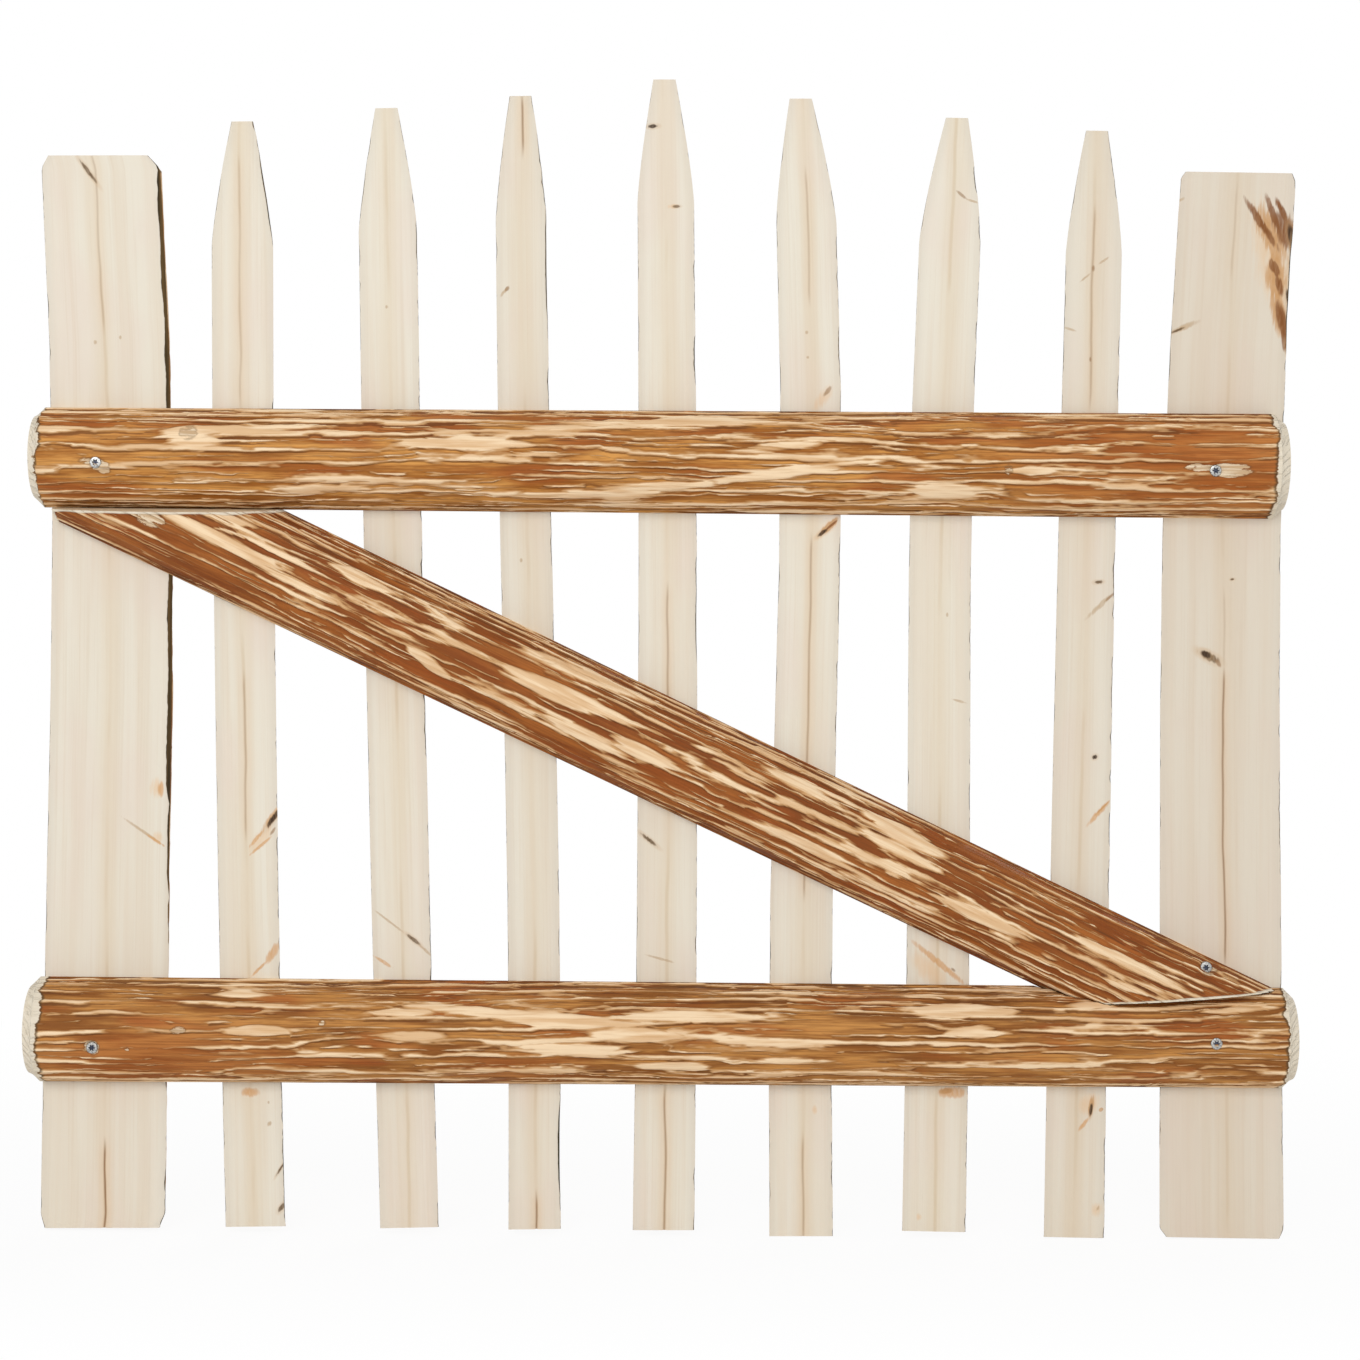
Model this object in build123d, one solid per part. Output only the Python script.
from build123d import *
from build123d.topology import SkipClean

import math
import os

# Hazel garden gate leaf, in millimetres: round poles sawn in half lengthwise and fixed face to face.
# X runs along the rails, Y from the rail side to the pale side, Z up.
# All sawn faces meet at Y = 0. The origin lies on the hinge stile's sawn face, on the stile's
# centre line and midway between the two rails.

# The saw takes its kerf out of the middle of each pole.
SAW_KERF = 3.0

# The gate is as wide as its bottom rail and as high as its middle pale.
GATE_WIDTH = 1007.0
GATE_HEIGHT = 922.0

# Rails: bark to the front, ends bevelled, each fixed a little to one side of the gate's middle.
TOP_RAIL_SHORTER = 11.0
TOP_RAIL_SHIFT = -3.0
BOTTOM_RAIL_SHIFT = 2.0
RAIL_SPACING = 457.0
RAIL_DIAMETER = 82.0
RAIL_TAPER = 4.0
RAIL_BEVEL = 7.0
RAIL_OVERHANG = 7.0

# Stiles: sawn face to the front, ends bevelled.
STILE_DIAMETER = 96.0
STILE_TAPER = 7.0
STILE_BEVEL = 8.0
STILE_BELOW_CROWN = 67.0

# Pales: sawn face to the front, pointed, rising to the middle one.
PALE_DIAMETER = 48.0
PALE_TIP_STEP = 12.5
POINT_LENGTH = 100.0
POINT_DIAMETER = 18.0

# The bottom rail's centre line stands this far above the feet.
RAIL_ABOVE_FEET = 159.0

# Diagonal brace: bark to the front, cut under the top rail and let into the bottom rail.
BRACE_DIAMETER = 83.0
BRACE_TAPER = 8.0
BRACE_HEAD_INSET = 96.5
BRACE_FOOT_INSET = 109.0
BRACE_TIP_TRIM = 4.0
BRACE_HEAD_BEVEL_DEG = 8.0
BRACE_SEAT_TILT_DEG = 4.0
FIT_GAP = 0.3

# Free height of sawn face on each stile, midway between the rails, for a hinge or latch plate.
LANDING_HEIGHT = 200.0

# How each pole grew and was fixed: foot and tip shift along X, sideways bow at mid-length, sideways
# sway of its lower half against its upper half, foot and tip shift along Z, and how much thicker its
# foot and shoulder are than the nominal diameter.
PALE_GROWTH = [
    (15.0, -2.0, -3.0, 0.0, 2.0, 1.5, 0.0, 1.5),
    (26.0, 1.0, -2.0, 0.0, 2.0, 0.5, -1.0, -1.0),
    (14.0, -4.0, 1.0, 1.5, 1.5, -1.5, -6.0, -7.0),
    (5.0, -1.0, 3.0, 0.0, 1.5, 0.0, 1.5, -3.0),
    (3.0, -4.0, 5.0, -4.0, -2.5, -2.0, 3.0, 0.0),
    (-3.0, 9.0, -5.0, 2.5, 2.0, -4.0, 3.0, 1.0),
    (-3.0, 9.0, -1.5, 0.0, -2.0, -1.0, 0.5, -3.5),
]
LATCH_STILE_GROWTH = (5.0, -3.0, 8.0, -2.5, 0.0, 3.0, 0.5, 3.5)
HINGE_STILE_GROWTH = (3.0, 10.5, -8.3, 2.0, -1.5, -4.0, 0.0, -0.5)

# Shape of a sharpened point and number of straight lengths that make up a crooked pole.
POINT_ROUNDING = 1.3
POINT_STEPS = 4
SHAFT_STEPS = 6

LEFT = -1
RIGHT = 1
UP = -1
DOWN = 1

PALE_SIDE = Plane(origin=(0, 0, 0), x_dir=(1, 0, 0), z_dir=(0, 1, 0))
RAIL_SIDE = Plane(origin=(0, 0, 0), x_dir=(1, 0, 0), z_dir=(0, -1, 0))


class Pole:
    """A round pole from a foot point to a tip point in the gate's plane, tapered and crooked."""

    def __init__(self, foot, tip, foot_diameter, tip_diameter, bow=0.0, sway=0.0):
        self.foot = foot
        self.run = (tip[0] - foot[0], tip[1] - foot[1])
        self.length = math.hypot(*self.run)
        self.foot_diameter = foot_diameter
        self.tip_diameter = tip_diameter
        self.bow = bow
        self.sway = sway

    def diameter(self, along):
        share = along / self.length
        return self.foot_diameter + (self.tip_diameter - self.foot_diameter) * share

    def sideways(self, along):
        share = along / self.length
        return 4.0 * self.bow * share * (1.0 - share) + self.sway * math.sin(2 * math.pi * share)

    def place(self):
        turn = math.degrees(math.atan2(self.run[0], self.run[1]))
        return Pos(self.foot[0], 0, self.foot[1]) * Rot(0, turn, 0)

    def on_face(self, along, side=0):
        """A point of the sawn face as (x, z): on the centre line, or on one of the two edges."""
        across = self.sideways(along) + side * self.diameter(along) / 2
        forward = (self.run[0] / self.length, self.run[1] / self.length)
        return (
            self.foot[0] + forward[0] * along + forward[1] * across,
            self.foot[1] + forward[1] * along - forward[0] * across,
        )

    def half(self, kept_side, ends):
        """Half of the pole; ends lists extra (along, diameter) rings that shape its two ends."""
        axis_y = -SAW_KERF / 2 * kept_side.z_dir.Y
        first = max((a for a, d in ends if a < self.length / 2), default=0.0)
        last = min((a for a, d in ends if a > self.length / 2), default=self.length)
        rings = [(a, d) for a, d in ends if a < first]
        steps = SHAFT_STEPS if self.bow or self.sway else 1
        for step in range(steps + 1):
            along = first + (last - first) * step / steps
            rings.append((along, self.diameter(along)))
        rings += [(a, d) for a, d in ends if a > last]
        discs = [Pos(self.sideways(a), axis_y, a) * Circle(d / 2) for a, d in rings]
        return self.place() * split(loft(discs, ruled=True, clean=False), bisect_by=kept_side)


def bevelled_ends(pole, bevel):
    """Rings of a pole with both ends bevelled all round."""
    top = pole.length
    return [
        (0.0, pole.diameter(0.0) - 2 * bevel),
        (bevel, pole.diameter(bevel)),
        (top - bevel, pole.diameter(top - bevel)),
        (top, pole.diameter(top) - 2 * bevel),
    ]


def pointed_end(pole):
    """Rings of a pole with a plain foot and a rounded point that ends in a small flat."""
    shoulder = pole.length - POINT_LENGTH
    full = pole.diameter(shoulder)
    rings = [(shoulder, full)]
    for step in range(1, POINT_STEPS + 1):
        share = step / POINT_STEPS
        slim = (full - POINT_DIAMETER) * share**POINT_ROUNDING
        rings.append((shoulder + POINT_LENGTH * share, full - slim))
    return rings


def upright(x, height, foot_diameter, tip_diameter, growth):
    """A pole that stands at x, with what its growth adds to its even place and size."""
    foot_x, tip_x, bow, sway, foot_z, tip_z, foot_extra, tip_extra = growth
    foot = (x + foot_x, foot_z)
    tip = (x + tip_x, height + tip_z)
    return Pole(foot, tip, foot_diameter + foot_extra, tip_diameter + tip_extra, bow, sway)


def stile(side, growth):
    thick = STILE_DIAMETER + STILE_TAPER / 2
    thin = STILE_DIAMETER - STILE_TAPER / 2
    return upright(side * stile_spacing / 2, GATE_HEIGHT - STILE_BELOW_CROWN, thick, thin, growth)


def pale(index):
    from_middle = index - (len(PALE_GROWTH) - 1) / 2
    height = GATE_HEIGHT - PALE_TIP_STEP * abs(from_middle)
    x = from_middle * stile_spacing / (len(PALE_GROWTH) + 1)
    return upright(x, height, PALE_DIAMETER, PALE_DIAMETER, PALE_GROWTH[index])


def rail(height, length, shift, thick_end):
    taper = thick_end * RAIL_TAPER / 2
    return Pole(
        (shift - length / 2, height),
        (shift + length / 2, height),
        RAIL_DIAMETER - taper,
        RAIL_DIAMETER + taper,
    )


def landing(part, low, high):
    """The part with its sawn face scribed across at two heights."""
    at_low = Plane(origin=(0, 0, low), x_dir=(1, 0, 0), z_dir=(0, 0, 1))
    at_high = Plane(origin=(0, 0, high), x_dir=(1, 0, 0), z_dir=(0, 0, 1))
    below = split(part, bisect_by=at_low, keep=Keep.BOTTOM)
    rest = split(part, bisect_by=at_low, keep=Keep.TOP)
    middle = split(rest, bisect_by=at_high, keep=Keep.BOTTOM)
    above = split(rest, bisect_by=at_high, keep=Keep.TOP)
    with SkipClean():
        return below.solid().fuse(middle.solid(), above.solid())


# Poles of the frame; the pales stand evenly between the stiles.
top_rail_length = GATE_WIDTH - TOP_RAIL_SHORTER
stile_spacing = GATE_WIDTH - 2 * RAIL_OVERHANG - STILE_DIAMETER
bottom_height = RAIL_ABOVE_FEET
top_height = RAIL_ABOVE_FEET + RAIL_SPACING
middle_height = (bottom_height + top_height) / 2
latch_stile = stile(LEFT, LATCH_STILE_GROWTH)
hinge_stile = stile(RIGHT, HINGE_STILE_GROWTH)
top_rail = rail(top_height, top_rail_length, TOP_RAIL_SHIFT, RIGHT)
bottom_rail = rail(bottom_height, GATE_WIDTH, BOTTOM_RAIL_SHIFT, LEFT)
pales = [pale(index) for index in range(len(PALE_GROWTH))]

# The brace's centre line runs from the top rail's lower edge to the bottom rail's upper edge.
brace_head = top_rail.on_face(BRACE_HEAD_INSET, DOWN)
brace_foot = bottom_rail.on_face(GATE_WIDTH - BRACE_FOOT_INSET, UP)
drop = brace_head[1] - brace_foot[1]
across = brace_foot[0] - brace_head[0]
slope = math.atan2(drop, across)
overrun = BRACE_DIAMETER * 1.5
brace = Pole(
    (brace_head[0] - overrun * math.cos(slope), brace_head[1] + overrun * math.sin(slope)),
    (brace_foot[0] + overrun * math.cos(slope), brace_foot[1] - overrun * math.sin(slope)),
    BRACE_DIAMETER + BRACE_TAPER / 2,
    BRACE_DIAMETER - BRACE_TAPER / 2,
)
brace_blank = brace.half(RAIL_SIDE, [])

# Head cut: along the top rail's lower edge, falling a little towards the front. Its sharp tip is
# trimmed just inside the latch stile's outer edge.
lower_edge = math.atan2(
    top_rail.on_face(top_rail_length, DOWN)[1] - top_rail.on_face(0.0, DOWN)[1], top_rail_length
)
head_cut = (
    Plane(origin=(brace_head[0], 0, brace_head[1] - FIT_GAP), x_dir=(1, 0, 0), z_dir=(0, 0, 1))
    .rotated((0, -math.degrees(lower_edge), 0))
    .rotated((BRACE_HEAD_BEVEL_DEG, 0, 0))
)
stile_edge = latch_stile.on_face(top_height - RAIL_DIAMETER / 2, LEFT)
edge_cut = Plane(origin=(stile_edge[0] + BRACE_TIP_TRIM, 0, 0), x_dir=(0, 1, 0), z_dir=(1, 0, 0))

# Foot cut: from the bottom rail's upper edge at the toe, sinking into the rail towards the heel.
toe_along = brace.length - overrun + BRACE_DIAMETER / 2 / math.tan(slope)
toe = brace.on_face(toe_along, UP)
seat = Plane(origin=(toe[0], 0, toe[1]), x_dir=(1, 0, 0), z_dir=(0, 0, 1)).rotated(
    (0, -BRACE_SEAT_TILT_DEG, 0)
)

brace_part = split(brace_blank, bisect_by=head_cut, keep=Keep.BOTTOM)
brace_part = split(brace_part, bisect_by=edge_cut, keep=Keep.TOP)
brace_part = split(brace_part, bisect_by=seat, keep=Keep.TOP)

# The bottom rail is housed for the brace's foot.
roomy = Pole(
    brace.foot,
    (brace.foot[0] + brace.run[0], brace.foot[1] + brace.run[1]),
    brace.foot_diameter + 2 * FIT_GAP,
    brace.tip_diameter + 2 * FIT_GAP,
)
housing = split(roomy.half(RAIL_SIDE, []), bisect_by=seat.offset(-FIT_GAP), keep=Keep.TOP)
bottom_rail_part = bottom_rail.half(RAIL_SIDE, bevelled_ends(bottom_rail, RAIL_BEVEL)) - housing

low = middle_height - LANDING_HEIGHT / 2
high = middle_height + LANDING_HEIGHT / 2
parts = {
    "latch_stile": landing(
        latch_stile.half(PALE_SIDE, bevelled_ends(latch_stile, STILE_BEVEL)), low, high
    ),
    "hinge_stile": landing(
        hinge_stile.half(PALE_SIDE, bevelled_ends(hinge_stile, STILE_BEVEL)), low, high
    ),
    "top_rail": top_rail.half(RAIL_SIDE, bevelled_ends(top_rail, RAIL_BEVEL)),
    "bottom_rail": bottom_rail_part,
    "diagonal_brace": brace_part,
}
for number, pole in enumerate(pales, start=1):
    parts[f"pale_{number}"] = pole.half(PALE_SIDE, pointed_end(pole))

# Everything is moved so that the origin sits on the hinge stile.
origin_x = hinge_stile.on_face(middle_height)[0]
os.makedirs("parts", exist_ok=True)
for name, part in parts.items():
    export_step(Pos(-origin_x, 0, -middle_height) * part, f"parts/{name}.step")
